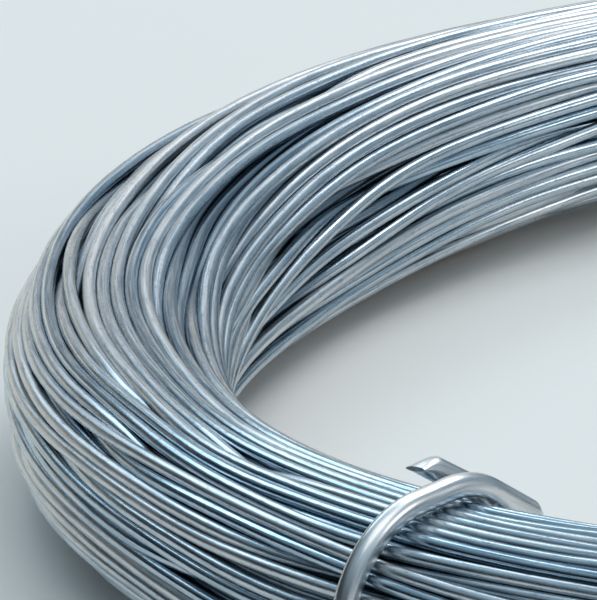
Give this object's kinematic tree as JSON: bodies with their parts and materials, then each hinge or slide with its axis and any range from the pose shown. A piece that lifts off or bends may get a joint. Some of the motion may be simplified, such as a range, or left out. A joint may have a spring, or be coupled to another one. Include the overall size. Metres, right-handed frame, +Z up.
{
  "type": "coil of galvanized wire",
  "caption": "Round flat-lying coil of galvanized steel wire, held by wire ties whose cut ends cross on the inner shoulder.",
  "frame": {"origin": "on the floor under the middle of the eye, as the coil lies flat on its ties", "axes": "+Z up along the coil's own axis; -Y is the near side, and the first tie is at 225 degrees, front left"},
  "size_m": [0.3788, 0.3788, 0.0449],
  "materials": {
    "coiled_wire": "hot-dip galvanized, blue-grey, drawn smooth, half gloss",
    "tie_wire": "bright galvanized, smooth, glossier than the coiled wire"
  },
  "bodies": {
    "root": {"wire_coil": "coiled_wire", "tie_front": "tie_wire", "tie_right": "tie_wire", "tie_back": "tie_wire"}
  },
  "joints": []
}
